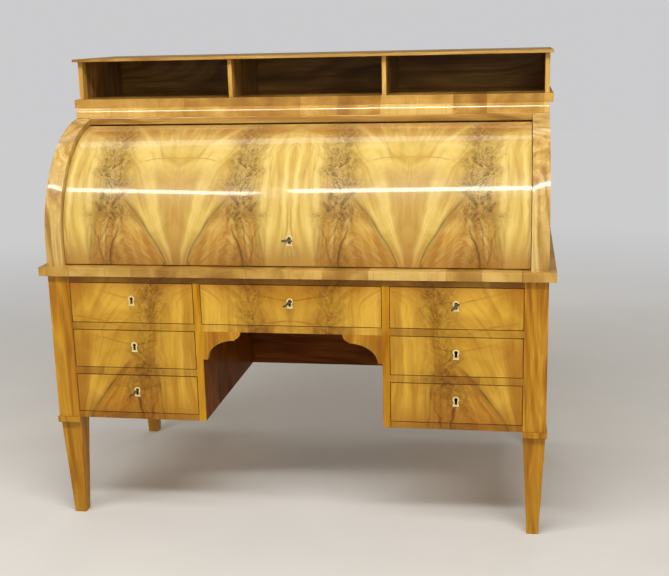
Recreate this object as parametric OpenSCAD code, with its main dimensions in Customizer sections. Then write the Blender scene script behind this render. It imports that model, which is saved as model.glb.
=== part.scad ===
// Roll top desk: a cylinder fall over a pedestal writing desk, with an open shelf on top.
// Millimetres. X runs left to right, Y from the sitter to the back, Z up.
// The origin is on the floor, under the middle of the desk with its keys in place.

/* [Case] */
// Width over the corner posts
case_w = 1400; // [1360:10:1440]
// Depth from the drawer faces to the back
case_d = 758; // [750:2:780]
// Height of the writing surface
slab_top = 759; // [752:1:775]
// Thickness of the writing slide and the fixed top around it
slab_t = 25; // [22:1:26]
// How far the top stands out past the posts at each side
slab_side = 20; // [10:1:30]
// How far the top stands out past the drawer faces
slab_front = 15; // [8:1:25]
// Width of a corner post, seen from the front
post_w = 63; // [60:1:68]
// Depth of a corner post
post_d = 72; // [72:1:80]

/* [Legs] */
// Height of a leg up to its collar
leg_h = 293; // [280:1:300]
// Width of a leg under the collar
leg_top = 61; // [56:1:61]
// Width of a leg at the floor
leg_foot = 33; // [28:1:40]
// Height of the collar
collar_h = 18; // [16:1:20]
// How far the collar stands out past the front of the post
collar_front = 5; // [3:1:8]
// How far the collar stands out past the side of the post
collar_side = 3; // [1:1:5]

/* [Drawers] */
// Width of the kneehole
kneehole_w = 510; // [480:10:540]
// Distance from the drawer faces to the panel at the back of the kneehole
kneehole_d = 572; // [560:1:590]
// Thickness of the partitions beside the kneehole
partition_t = 20; // [18:1:22]
// Thickness of the bottom rail and board
bottom_t = 18; // [16:1:20]
// Thickness of the rails between drawers
rail_t = 20; // [18:1:22]
// Height of the bottom drawer openings
low_drawer_h = 115; // [105:1:115]
// Height of the middle drawer openings
mid_drawer_h = 113; // [105:1:113]
// Height of the top drawer openings
top_drawer_h = 118; // [105:1:118]
// Thickness of a drawer front
front_t = 22; // [20:1:24]
// Length of a pedestal drawer's sides
drawer_l = 640; // [500:10:650]
// Length of the centre drawer's sides
centre_drawer_l = 530; // [400:10:530]
// Gap around a drawer front
drawer_gap = 1.4; // [0.8:0.1:1.8]

/* [Cylinder] */
// Distance from the drawer faces back to the cylinder's axis
pivot_back = 340; // [335:1:345]
// Height of the cylinder's axis above the writing surface
pivot_up = 57.5; // [55:0.5:60]
// Radius of the cheeks' front edge
cheek_r = 337; // [335:1:340]
// Width of the cheeks, seen from the front
cheek_w = 47; // [45:1:50]
// Outer radius of the cylinder
lid_r = 320; // [318:1:321]
// Thickness of the cylinder
lid_t = 16; // [14:1:16]
// Angle of the cylinder's lower edge, from straight ahead of the axis
lid_low = -9.8; // [-10:0.1:-9.5]
// Angle of the cylinder's upper edge
lid_high = 78; // [76:1:79]
// Radius of the pivot pins
pivot_r = 6; // [5:0.5:8]

/* [Upper case] */
// Height of the cheeks' necks, where the top moulding starts
neck_z = 1152; // [1150:1:1154]
// Height of the top moulding
moulding_h = 29; // [26:1:32]
// Thickness of the cornice board
cornice_t = 24.5; // [20:0.5:28]
// How far the cornice and the shelf top stand out at each side
cornice_side = 11; // [5:1:18]
// Overall height
total_h = 1325; // [1310:1:1340]
// Thickness of the shelf's top board
shelf_top_t = 8; // [7:1:12]
// Thickness of the shelf's uprights
upright_t = 13; // [10:1:16]
// Distance from the shelf's middle to its inner uprights
divider_x = 229; // [200:1:260]

/* [Locks and keys] */
// Radius of a key's shaft
key_r = 2.6; // [2:0.1:2.8]
// How far a key stands out of a drawer face
key_reach = 48; // [40:1:55]
// How far a bolt moves
bolt_throw = 8; // [5:0.5:8]

/* [Hidden] */

// Circles are true circles.
$fn = 96;
eps = 1;
glue = 0.1;
running = 0.3;

veneer = "goldenrod";
walnut = "peru";
dark_walnut = "saddlebrown";
pine = "burlywood";
brass = "khaki";
steel = "slategray";

// Places along each axis, with y counted back from the drawer faces.
front_y = (key_reach - case_d - collar_front) / 2;
half_w = case_w / 2;
post_x = half_w - post_w;
panel_t = 20;
panel_x = half_w - panel_t;
knee_x = kneehole_w / 2;
bay_x = knee_x + partition_t;
rail_d = 60;
back_y = case_d - 20;
back_t = 12;

// Heights of the drawer rows, from the pedestal's underside up.
ped_z = leg_h + collar_h;
low_z = [ped_z + bottom_t, ped_z + bottom_t + low_drawer_h];
mid_z = [low_z[1] + rail_t, low_z[1] + rail_t + mid_drawer_h];
top_z = [mid_z[1] + rail_t, mid_z[1] + rail_t + top_drawer_h];
slab_z = slab_top - slab_t;
dust_t = 12;
dust_z = slab_z - dust_t;

// The cylinder's own frame has its axis at the origin.
pivot_z = slab_top + pivot_up;
lining_x = half_w - cheek_w;
lid_x = lining_x - 1.5;
arm_x = [lining_x - 18, lining_x - 4];
arm_r = lid_r - lid_t - glue;
pin_end = lining_x + 20;
neck_y = 41;
neck_up = neck_z - pivot_z;
cornice_z = neck_z + moulding_h;
shelf_z = cornice_z + cornice_t;
shelf_top_z = total_h - shelf_top_t;
shelf_d = 337;
shelf_y = 335;

// The slide fills the top between two fixed side boards.
slide_x = post_x - 6;
slide_back = 690;

// Locks: keyhole heights, and each drawer's place as [x range, z range].
left_x = [-post_x, -bay_x];
centre_x = [-knee_x, knee_x];
right_x = [bay_x, post_x];
keyhole_up = 12;
cylinder_keyhole_z = pivot_z + 23.5;
bit_r = 9.5;
bit_room_r = 10.5;

function middle(range) = (range[0] + range[1]) / 2;
function keyhole_z(z) = middle(z) + keyhole_up;

// ---------- shared shapes ----------

module board(x, y, z) {
    translate([x[0], y[0], z[0]])
        cube([x[1] - x[0], y[1] - y[0], z[1] - z[0]]);
}

module from_front() {
    translate([0, front_y, 0])
        children();
}

module both_sides() {
    children();
    mirror([1, 0, 0])
        children();
}

module four_corners() {
    both_sides() {
        children();
        translate([0, case_d, 0])
            mirror([0, 1, 0])
                children();
    }
}

// Puts shapes drawn as [forward, up] about the cylinder's axis into the case, centred on X.
module on_pivot() {
    translate([0, pivot_back, pivot_z])
        rotate([90, 0, -90])
            children();
}

// A flat outline in the cylinder's frame, between two places along X.
module side_outline(x) {
    on_pivot()
        translate([0, 0, -x[1]])
            linear_extrude(x[1] - x[0])
                children();
}

// Part of a ring about the cylinder's axis.
module ring(r_in, r_out, from, to, x) {
    on_pivot()
        rotate([0, 0, from])
            rotate_extrude(angle = to - from)
                translate([r_in, -x[1]])
                    square([r_out - r_in, x[1] - x[0]]);
}

// A square block that tapers to a smaller square foot, standing on the origin.
module taper(foot, head, h) {
    outline = [[-foot / 2, 0], [foot / 2, 0], [head / 2, h], [-head / 2, h]];
    intersection() {
        translate([0, head / 2, 0])
            rotate([90, 0, 0])
                linear_extrude(head)
                    polygon(outline);
        translate([-head / 2, 0, 0])
            rotate([90, 0, 90])
                linear_extrude(head)
                    polygon(outline);
    }
}

// ---------- lower case ----------

leg_c = [post_x + post_w / 2, 9 + leg_top / 2];
neck_w = 50;
tenon_w = 30;
tenon_h = 60;

module legs() {
    color(walnut) from_front() four_corners() {
        translate([leg_c[0], leg_c[1], 0]) {
            taper(leg_foot, leg_top, leg_h);
            translate([-neck_w / 2, -neck_w / 2, leg_h - eps])
                cube([neck_w, neck_w, collar_h + eps]);
            translate([-tenon_w / 2, -tenon_w / 2, ped_z - eps])
                cube([tenon_w, tenon_w, tenon_h + eps]);
        }
    }
}

// The collar wraps the neck of the leg; its lower arris is cut back at front and side.
module leg_collar() {
    cut = 3;
    back = post_d;
    difference() {
        board([post_x, half_w + collar_side], [-collar_front, back], [leg_h, ped_z]);
        translate([leg_c[0] - neck_w / 2 - glue, leg_c[1] - neck_w / 2 - glue, leg_h - eps])
            cube([neck_w + 2 * glue, neck_w + 2 * glue, collar_h + 2 * eps]);
        translate([post_x - eps, 0, 0])
            rotate([90, 0, 90])
                linear_extrude(post_w + 2 * collar_side + 2 * eps)
                    polygon([
                        [-collar_front - eps, leg_h - eps], [cut - collar_front, leg_h - eps],
                        [cut - collar_front, leg_h], [-collar_front, leg_h + cut],
                        [-collar_front - eps, leg_h + cut],
                    ]);
        translate([0, back + eps, 0])
            rotate([90, 0, 0])
                linear_extrude(back + collar_front + 2 * eps)
                    polygon([
                        [half_w + collar_side + eps, leg_h - eps], [half_w + collar_side - cut, leg_h - eps],
                        [half_w + collar_side - cut, leg_h], [half_w + collar_side, leg_h + cut],
                        [half_w + collar_side + eps, leg_h + cut],
                    ]);
    }
}

module leg_collars() {
    color(walnut) from_front() four_corners() leg_collar();
}

module corner_posts() {
    color(walnut) from_front() four_corners() difference() {
        board([post_x, half_w], [0, post_d], [ped_z, slab_z]);
        translate([leg_c[0] - tenon_w / 2 - glue, leg_c[1] - tenon_w / 2 - glue, ped_z - eps])
            cube([tenon_w + 2 * glue, tenon_w + 2 * glue, tenon_h + 2 * eps]);
    }
}

module side_panels() {
    color(veneer) from_front() both_sides()
        board([panel_x, half_w], [post_d, case_d - post_d], [ped_z, slab_z]);
}

module partitions() {
    color(veneer) from_front() both_sides() difference() {
        board([knee_x, bay_x], [0, back_y], [ped_z, dust_z]);
        board([knee_x - eps, bay_x + eps], [-eps, rail_d], [top_z[1], slab_z]);
    }
}

// The slot that a drawer's bolt shoots up into.
module bolt_mortise(x, z) {
    board([middle(x) - 11, middle(x) + 11], [12, 20], [z[1] - eps, z[1] + bolt_throw + 1]);
}

module front_rails() {
    color(veneer) from_front() difference() {
        union() {
            board([-post_x, post_x], [0, rail_d], [top_z[1], slab_z]);
            board([-knee_x, knee_x], [0, rail_d], [mid_z[1], top_z[0]]);
            both_sides() {
                board([bay_x, post_x], [0, rail_d], [mid_z[1], top_z[0]]);
                board([bay_x, post_x], [0, rail_d], [low_z[1], mid_z[0]]);
                board([bay_x, post_x], [0, rail_d], [ped_z, low_z[0]]);
            }
        }
        bolt_mortise(centre_x, top_z);
        bolt_mortise(right_x, top_z);
        bolt_mortise(left_x, low_z);
    }
}

runner_w = 36;
guide_h = 30;

// Runners under one row of pedestal drawers, with a guide beside the outer one.
module pedestal_runners(z) {
    back_post = case_d - post_d;
    board([bay_x, bay_x + runner_w], [rail_d, back_y], [z - rail_t, z]);
    board([post_x - runner_w, post_x], [rail_d, back_y], [z - rail_t, z]);
    board([post_x, panel_x], [post_d, back_post], [z - rail_t, z]);
    board([post_x + 1, panel_x], [post_d, back_post], [z, z + guide_h]);
}

module drawer_runners() {
    color(pine) from_front() both_sides() {
        pedestal_runners(mid_z[0]);
        pedestal_runners(top_z[0]);
        board([post_x + 1, panel_x], [post_d, case_d - post_d], [low_z[0] + glue, low_z[0] + guide_h]);
        board([knee_x - runner_w, knee_x], [rail_d, kneehole_d], [mid_z[1], top_z[0]]);
    }
}

module pedestal_bottoms() {
    color(pine) from_front() both_sides() {
        board([bay_x, post_x], [rail_d, back_y], [ped_z, low_z[0]]);
        board([post_x - eps, panel_x], [post_d, case_d - post_d], [ped_z, low_z[0]]);
    }
}

module lower_back_panels() {
    color(pine) from_front() both_sides()
        board([knee_x, post_x], [back_y, back_y + back_t], [ped_z, dust_z]);
}

module modesty_panel() {
    color(dark_walnut) from_front()
        board([-knee_x, knee_x], [kneehole_d, kneehole_d + 15], [ped_z, dust_z]);
}

bracket_l = 110;
bracket_h = 82;
bracket_tip = 13;
lobe = [17, 21];

// Ogee outline of a kneehole bracket, with its corner at the origin.
function bracket_outline() = concat(
    [[0, 0], [bracket_l, 0]],
    [for (a = [0:10:80]) [bracket_l - lobe[0] + lobe[0] * cos(a), -lobe[1] * sin(a)]],
    [for (a = [0:6:90]) [
        bracket_l - lobe[0] - (bracket_l - lobe[0] - bracket_tip) * sin(a),
        -bracket_h + (bracket_h - lobe[1] - 4) * cos(a)
    ]],
    [[0, -bracket_h]]
);

module kneehole_brackets() {
    color(walnut) from_front() both_sides()
        translate([-knee_x, 20, mid_z[1]])
            rotate([90, 0, 0])
                linear_extrude(20)
                    polygon(bracket_outline());
}

module dust_board() {
    color(pine) from_front() {
        board([-post_x, post_x], [rail_d, back_y + back_t], [dust_z, slab_z]);
        both_sides()
            board([post_x - eps, panel_x], [post_d, case_d - post_d], [dust_z, slab_z]);
    }
}

module fixed_top() {
    color(veneer) from_front() {
        both_sides()
            board([slide_x, half_w + slab_side], [-slab_front, case_d], [slab_z, slab_top]);
        board([-slide_x + glue, slide_x - glue], [slide_back + 2, case_d], [slab_z, slab_top]);
    }
}

// ---------- writing slide ----------

leather_x = 560;
leather_y = [75, 425];
leather_t = 2;
slide_z = [slab_z + running, slab_top - running];

module leather_area(grow, z) {
    board([-leather_x - grow, leather_x + grow], [leather_y[0] - grow, leather_y[1] + grow], z);
}

module writing_slide() {
    color(veneer) from_front() difference() {
        board([-slide_x + 0.5, slide_x - 0.5], [-slab_front, slide_back], slide_z);
        leather_area(running, [slide_z[1] - leather_t, slab_top]);
        board([-12, 12], [40, 54], [slide_z[1] - 14, slab_top]);
    }
}

module writing_leather() {
    color("darkgreen") from_front()
        leather_area(0, [slide_z[1] - leather_t, slide_z[1]]);
}

// ---------- upper case ----------

case_back = pivot_back - case_d;
lining_r = arm_r - 13;

// The cheek as seen from the side, in the cylinder's frame: a quarter round over a straight foot.
module cheek_outline() {
    intersection() {
        circle(r = cheek_r);
        square([cheek_r, neck_up]);
    }
    translate([case_back, -pivot_up])
        square([neck_y - case_back, pivot_up + neck_up]);
    translate([0, -pivot_up])
        square([cheek_r, pivot_up + eps]);
    translate([case_back, 0])
        square([-20 - case_back, cornice_z - pivot_z]);
}

// The part of a cheek that is thin, behind its front band.
module lining_outline(grow) {
    intersection() {
        union() {
            circle(r = lining_r + grow);
            translate([case_back, -pivot_up - eps])
                square([-case_back, pivot_up + neck_up + eps + grow]);
        }
        translate([case_back + 13 - grow, -pivot_up - eps])
            square([case_d, pivot_up + neck_up + eps + grow]);
    }
}

module cheeks() {
    lining_t = cheek_w / 2;
    color(veneer) from_front() both_sides() {
        difference() {
            side_outline([lining_x, half_w])
                cheek_outline();
            side_outline([lining_x - eps, lining_x + lining_t])
                lining_outline(glue);
        }
        difference() {
            side_outline([lining_x, lining_x + lining_t - glue])
                intersection() {
                    lining_outline(0);
                    cheek_outline();
                }
            translate([lining_x - eps, pivot_back, pivot_z])
                rotate([0, 90, 0])
                    cylinder(r = pivot_r + 0.05, h = lining_t + 2 * eps);
        }
    }
}

module upper_back_panel() {
    color(pine) from_front()
        board([-lining_x, lining_x], [case_d - 13, case_d - 1], [slab_top, cornice_z]);
}

module fixed_rail() {
    color(veneer) from_front()
        side_outline([-lining_x, lining_x])
            difference() {
                translate([-30, neck_up - 26])
                    square([87, 26]);
                circle(r = lid_r + 1.5);
            }
}

// A rail with a quarter round along its top front edge.
module top_moulding() {
    round_r = 16;
    top = cornice_z - pivot_z;
    front = neck_y + 2;
    color(veneer) from_front() side_outline([-half_w, half_w]) {
        translate([-20, neck_up])
            square([20 + front, moulding_h - round_r]);
        translate([-20, neck_up])
            square([20 + front - round_r, moulding_h]);
        translate([front - round_r, top - round_r])
            intersection() {
                circle(r = round_r);
                square(round_r);
            }
    }
}

module cornice_board() {
    color(veneer) from_front()
        board([-half_w - cornice_side, half_w + cornice_side], [315, case_d], [cornice_z, shelf_z]);
}

module shelf_uprights() {
    color(dark_walnut) from_front() both_sides() {
        board([half_w - upright_t, half_w], [shelf_y, shelf_y + shelf_d + 10], [shelf_z, shelf_top_z]);
        board([divider_x - 6, divider_x + 6], [shelf_y, shelf_y + shelf_d], [shelf_z, shelf_top_z]);
    }
}

module shelf_back() {
    inner = half_w - upright_t;
    color(dark_walnut) from_front()
        board([-inner, inner], [shelf_y + shelf_d, shelf_y + shelf_d + 10], [shelf_z, shelf_top_z]);
}

module shelf_top() {
    color(veneer) from_front()
        board([-half_w - 10, half_w + 10], [315, shelf_y + shelf_d + 18], [shelf_top_z, total_h]);
}

// ---------- gradin: the small drawers and pigeonholes inside ----------

gradin_y = [440, 600];
gradin_x = 624;
gradin_base_t = 12;
gradin_t = 10;
gradin_top = 175;
gradin_shelf = [74, 82];
gradin_divider = 206;
pigeonhole_x = [122, 367];

module gradin_case() {
    base = slab_top + gradin_base_t;
    shelf = [slab_top + gradin_shelf[0], slab_top + gradin_shelf[1]];
    top = [slab_top + gradin_top - gradin_t, slab_top + gradin_top];
    inner = gradin_x - gradin_t - glue;
    deep = [gradin_y[0], gradin_y[1] - gradin_t - glue];
    color(walnut) from_front() {
        board([-lining_x + running, lining_x - running], [gradin_y[0] - 10, gradin_y[1]], [slab_top, base]);
        board([-gradin_x, gradin_x], gradin_y, top);
        board([-inner, inner], [gradin_y[1] - gradin_t, gradin_y[1]], [base + glue, top[0] - glue]);
        board([-inner, inner], deep, shelf);
        both_sides() {
            board([gradin_x - gradin_t, gradin_x], gradin_y, [base + glue, top[0] - glue]);
            board([gradin_divider - 4, gradin_divider + 4], deep, [base + glue, shelf[0] - glue]);
            for (x = pigeonhole_x)
                board([x - 4, x + 4], deep, [shelf[1] + glue, top[0] - glue]);
        }
    }
}

// An open tray as four separate boards, behind a front.
module tray(x, y, z, t, bottom_up) {
    board([x[0], x[0] + t], y, z);
    board([x[1] - t, x[1]], y, z);
    board([x[0] + t + glue, x[1] - t - glue], [y[1] - t, y[1]], [z[0] + bottom_up, z[1]]);
    board([x[0] + t + glue, x[1] - t - glue], [y[0], y[1] - t - glue],
          [z[0] + bottom_up, z[0] + bottom_up + 6]);
}

// A small gradin drawer between two places in X.
module gradin_drawer(x) {
    z = [slab_top + gradin_base_t + 0.5, slab_top + gradin_shelf[0] - 0.8];
    gap = 0.8;
    color(walnut) from_front() {
        board([x[0] + gap, x[1] - gap], [gradin_y[0], gradin_y[0] + gradin_t], z);
        tray([x[0] + 1.2, x[1] - 1.2], [gradin_y[0] + gradin_t + glue, gradin_y[1] - 15],
             [z[0], z[1] - 8], 6, 2);
        translate([middle(x), gradin_y[0] - glue, middle(z)])
            rotate([90, 0, 0]) {
                cylinder(r = 3.5, h = 9);
                translate([0, 0, 7])
                    cylinder(r = 7, h = 6);
            }
    }
}

module gradin_drawer_left() {
    gradin_drawer([-gradin_x + gradin_t, -gradin_divider - 4]);
}

module gradin_drawer_centre() {
    gradin_drawer([-gradin_divider + 4, gradin_divider - 4]);
}

module gradin_drawer_right() {
    gradin_drawer([gradin_divider + 4, gradin_x - gradin_t]);
}

// ---------- locks, escutcheons and keys ----------

// A keyhole plate: a round head over a flared foot, drawn upright about the key's axis.
module escutcheon_outline(grow = 0) {
    circle(r = 9 + grow);
    polygon([
        [-6 - grow, -5], [6 + grow, -5], [8.5 + grow, -20 - grow], [-8.5 - grow, -20 - grow],
    ]);
}

// The opening in the plate and the wood behind it.
module keyhole_outline() {
    circle(r = 5);
    polygon([[-3, 0], [3, 0], [4.2, -15], [-4.2, -15]]);
}

// The opening in the lock itself, which guides the key.
module key_guide_outline() {
    circle(r = key_r + 0.4);
    translate([-1.5, -10.5])
        square([3, 10.5]);
}

// Extrudes an upright outline back through the wood from y[0] to y[1], about a keyhole at x, z.
module through(x, y, z) {
    translate([x, y[1], z])
        rotate([90, 0, 0])
            linear_extrude(y[1] - y[0])
                children();
}

module escutcheon(x, face, z) {
    through(x, [face - 0.6, face + 1 - 0.02], z)
        difference() {
            escutcheon_outline();
            keyhole_outline();
        }
}

case_x = 25;
case_y = [10, 22];
case_below = 22;

// Where the lock is let into a drawer front.
module lock_recess(x, z) {
    hole = keyhole_z(z);
    board([middle(x) - case_x - glue, middle(x) + case_x + glue], [case_y[0] - glue, front_t + eps],
          [hole - case_below - glue, z[1]]);
    through(middle(x), [-eps, 1], hole)
        escutcheon_outline(0.05);
    through(middle(x), [-eps, case_y[0]], hole)
        keyhole_outline();
}

// A half mortise lock with room for the key's bit and a slot for the bolt.
module lock(x, z) {
    hole = keyhole_z(z);
    c = middle(x);
    top = z[1] - drawer_gap;
    color(brass) from_front() {
        escutcheon(c, 0, hole);
        difference() {
            board([c - case_x, c + case_x], case_y, [hole - case_below, top]);
            board([c - 10.4, c + 10.4], [12.6, 19.4], [hole + 11, top + eps]);
            through(c, [case_y[0] + 1.5, case_y[1] - 1.5], hole)
                circle(r = bit_room_r);
            through(c, [case_y[0] - eps, case_y[0] + 2], hole)
                key_guide_outline();
        }
    }
}

// A key in the lock: bow, shaft and bit, turned about its shaft. The lock case starts at case_in.
module key(x, face, z, reach, turn, case_in = 10) {
    bow = [30, 24];
    wire = 1.9;
    bow_r = bow[1] / 2 - wire;
    side = (bow[0] - bow[1]) / 2;
    bow_y = face - reach + bow[1] / 2;
    color(steel) from_front() translate([x, 0, z]) rotate([0, turn, 0]) {
        translate([0, face + case_in + 10, 0])
            rotate([90, 0, 0])
                cylinder(r = key_r, h = case_in + 10 + reach - bow[1] + wire / 2);
        translate([0, bow_y + bow[1] / 2 + 3.5, 0])
            rotate([90, 0, 0])
                cylinder(r = 4, h = 3);
        translate([-1, face + case_in + 3, -bit_r])
            cube([2, 6, bit_r]);
        translate([0, bow_y, 0])
            rotate([0, 90, 0]) {
                for (end = [0, 1])
                    mirror([end, 0, 0])
                        translate([side, 0, 0])
                            rotate([0, 0, -90])
                                rotate_extrude(angle = 180)
                                    translate([bow_r, 0])
                                        circle(r = wire);
                for (row = [-1, 1])
                    translate([-side - 0.01, row * bow_r, 0])
                        rotate([0, 90, 0])
                            cylinder(r = wire, h = 2 * side + 0.02);
            }
    }
}

module bolt(x, z) {
    color(steel) from_front()
        board([middle(x) - 10, middle(x) + 10], [13, 19], [keyhole_z(z) + 11.4, z[1] - drawer_gap - running]);
}

// ---------- drawers ----------

module drawer_front(x, z) {
    color(veneer) from_front() difference() {
        board([x[0] + drawer_gap, x[1] - drawer_gap], [0, front_t], [z[0] + drawer_gap, z[1] - drawer_gap]);
        lock_recess(x, z);
    }
}

module drawer_box(x, z, length) {
    y = [front_t + glue, front_t + length];
    color(pine) from_front()
        tray([x[0] + 1.5, x[1] - 1.5], y, [z[0] + 0.4, z[1] - 12], 10, 5);
}

module front_left_top() { drawer_front(left_x, top_z); }
module front_left_middle() { drawer_front(left_x, mid_z); }
module front_left_bottom() { drawer_front(left_x, low_z); }
module front_centre() { drawer_front(centre_x, top_z); }
module front_right_top() { drawer_front(right_x, top_z); }
module front_right_middle() { drawer_front(right_x, mid_z); }
module front_right_bottom() { drawer_front(right_x, low_z); }

module box_left_top() { drawer_box(left_x, top_z, drawer_l); }
module box_left_middle() { drawer_box(left_x, mid_z, drawer_l); }
module box_left_bottom() { drawer_box(left_x, low_z, drawer_l); }
module box_centre() { drawer_box(centre_x, top_z, centre_drawer_l); }
module box_right_top() { drawer_box(right_x, top_z, drawer_l); }
module box_right_middle() { drawer_box(right_x, mid_z, drawer_l); }
module box_right_bottom() { drawer_box(right_x, low_z, drawer_l); }

module lock_left_top() { lock(left_x, top_z); }
module lock_left_middle() { lock(left_x, mid_z); }
module lock_left_bottom() { lock(left_x, low_z); }
module lock_centre() { lock(centre_x, top_z); }
module lock_right_top() { lock(right_x, top_z); }
module lock_right_middle() { lock(right_x, mid_z); }
module lock_right_bottom() { lock(right_x, low_z); }

module key_centre() { key(0, 0, keyhole_z(top_z), key_reach - 6, 60); }
module key_right_top() { key(middle(right_x), 0, keyhole_z(top_z), key_reach, 50); }
module key_left_bottom() { key(middle(left_x), 0, keyhole_z(low_z), key_reach - 2, 50); }

module bolt_centre() { bolt(centre_x, top_z); }
module bolt_right_top() { bolt(right_x, top_z); }
module bolt_left_bottom() { bolt(left_x, low_z); }

// ---------- cylinder ----------

face_y = pivot_back - lid_r;
cyl_case_y = [face_y + 14, face_y + 30];
cyl_case_z = [cylinder_keyhole_z - 34, cylinder_keyhole_z + 36];
cyl_bolt_y = [face_y + 22.5, face_y + 27.5];
plate_in = 2.6;

module cylinder_panel() {
    color(veneer) from_front() difference() {
        ring(lid_r - lid_t, lid_r, lid_low, lid_high, [-lid_x, lid_x]);
        board([-32 - glue, 32 + glue], [cyl_case_y[0] - glue, cyl_case_y[1]],
              [cyl_case_z[0] - glue, cyl_case_z[1] + glue]);
        through(0, [face_y - eps, face_y + plate_in], cylinder_keyhole_z)
            escutcheon_outline(0.05);
        through(0, [face_y - eps, cyl_case_y[0] + eps], cylinder_keyhole_z)
            keyhole_outline();
    }
}

module cylinder_ribs() {
    color(pine) from_front()
        for (x = [-500, -210, 210, 500])
            ring(arm_r - 12.5, arm_r, lid_low + 2, lid_high - 2, [x - 15, x + 15]);
}

// A wedge of the cylinder's side, from its axis out to r.
module wedge(r, from, to) {
    far = 2 * r;
    intersection() {
        circle(r = r);
        polygon([
            [0, 0],
            for (a = [from, (from + to) / 2, to]) [far * cos(a), far * sin(a)]
        ]);
    }
}

// Quadrant ends on iron pins, which turn in the cheeks' linings.
module cylinder_arms() {
    hub_r = 38;
    color(walnut) from_front() both_sides() {
        side_outline(arm_x)
            difference() {
                union() {
                    wedge(arm_r, lid_low, lid_high);
                    circle(r = hub_r);
                }
                circle(r = pivot_r + 0.05);
            }
        translate([arm_x[0], pivot_back, pivot_z])
            rotate([0, 90, 0])
                cylinder(r = pivot_r, h = pin_end - arm_x[0]);
    }
}

module cylinder_lock() {
    z = cylinder_keyhole_z;
    color(brass) from_front() {
        through(0, [face_y, face_y + plate_in - 0.02], z)
            difference() {
                escutcheon_outline();
                keyhole_outline();
            }
        difference() {
            board([-32, 32], cyl_case_y, cyl_case_z);
            board([-10.4, 10.4], [cyl_bolt_y[0] - 0.4, cyl_bolt_y[1] + 0.4], [cyl_case_z[0] - eps, z - 11]);
            through(0, [cyl_case_y[0] + 1.5, cyl_case_y[1] - 1.5], z)
                circle(r = bit_room_r);
            through(0, [cyl_case_y[0] - eps, cyl_case_y[0] + 2], z)
                key_guide_outline();
        }
    }
}

module key_cylinder() { key(0, face_y, cylinder_keyhole_z, key_reach - 3, 90, 14); }

module bolt_cylinder() {
    color(steel) from_front()
        board([-10, 10], cyl_bolt_y, [slab_top + 2.5, cylinder_keyhole_z - 11.4]);
}

// ---------- assembly ----------

legs();
leg_collars();
corner_posts();
side_panels();
partitions();
front_rails();
drawer_runners();
pedestal_bottoms();
lower_back_panels();
modesty_panel();
kneehole_brackets();
dust_board();
fixed_top();
cheeks();
upper_back_panel();
fixed_rail();
top_moulding();
cornice_board();
shelf_uprights();
shelf_back();
shelf_top();
gradin_case();
gradin_drawer_left();
gradin_drawer_centre();
gradin_drawer_right();
cylinder_panel();
cylinder_ribs();
cylinder_arms();
cylinder_lock();
writing_slide();
writing_leather();
front_left_top();
front_left_middle();
front_left_bottom();
front_centre();
front_right_top();
front_right_middle();
front_right_bottom();
box_left_top();
box_left_middle();
box_left_bottom();
box_centre();
box_right_top();
box_right_middle();
box_right_bottom();
lock_left_top();
lock_left_middle();
lock_left_bottom();
lock_centre();
lock_right_top();
lock_right_middle();
lock_right_bottom();
key_cylinder();
key_centre();
key_right_top();
key_left_bottom();
bolt_cylinder();
bolt_centre();
bolt_right_top();
bolt_left_bottom();
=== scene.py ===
"""Looks for the cylinder desk: walnut veneers, brass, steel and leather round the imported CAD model."""
import math

import bmesh
import bpy
from mathutils import Matrix, Vector

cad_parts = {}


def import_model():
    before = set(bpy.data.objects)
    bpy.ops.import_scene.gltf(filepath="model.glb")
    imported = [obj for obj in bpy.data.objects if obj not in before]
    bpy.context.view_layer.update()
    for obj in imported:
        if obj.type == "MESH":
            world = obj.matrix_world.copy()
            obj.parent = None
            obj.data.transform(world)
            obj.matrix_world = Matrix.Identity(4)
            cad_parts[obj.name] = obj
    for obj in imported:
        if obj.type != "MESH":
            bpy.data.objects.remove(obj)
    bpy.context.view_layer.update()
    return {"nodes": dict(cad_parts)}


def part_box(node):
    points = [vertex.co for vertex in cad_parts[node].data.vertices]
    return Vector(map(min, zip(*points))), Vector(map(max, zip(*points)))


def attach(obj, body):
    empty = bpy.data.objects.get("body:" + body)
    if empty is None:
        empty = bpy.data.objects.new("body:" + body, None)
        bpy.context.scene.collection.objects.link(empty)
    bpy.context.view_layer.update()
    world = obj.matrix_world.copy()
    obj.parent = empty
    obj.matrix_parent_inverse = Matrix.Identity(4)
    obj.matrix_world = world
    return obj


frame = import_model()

NODES = frame["nodes"]

# ---------------------------------------------------------------- sizes, in metres

CASE_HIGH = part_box("side_panels")[1]
FRONT_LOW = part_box("front_rails")[0]
LID_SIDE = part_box("cylinder_panel")[1].x
LEAF_SEAM = LID_SIDE / 2                # the lid is veneered in four leaves
LID_RADIUS = 0.320
LID_AXIS_Y = -0.0175
LID_AXIS_Z = 0.8165
LID_FOOT = 8                            # degrees below the axis, where the leaves start
DRAWER_BOTTOM = FRONT_LOW.z
OUTER_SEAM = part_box("front_right_top")[1].x
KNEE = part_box("front_centre")[1].x
LOCK_CASE_Y = FRONT_LOW.y + 0.016       # the middle of the drawers' lock cases


# ---------------------------------------------------------------- camera, floor and lights

BACKDROP = (0.60, 0.60, 0.61)           # as light as the floor looks in the distance
EYE = (0.6150, -3.2167, 1.3891)
YAW, PITCH, ROLL = 9.70, -13.21, -1.41  # degrees
LENS = 58.857                           # millimetres, on a sensor 36 mm wide
LIGHT_COLOUR = (1, 0.98, 0.94)
LAMP_Z = 3.0                            # how high the tubes hang, whose reflections show
LIGHTS_AIM = (0, -0.2, 0.7)
SKY_COLOUR = (1.0, 0.86, 0.66, 1)       # the dim warm light that comes from all round
SKY_STRENGTH = 0.16


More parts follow.
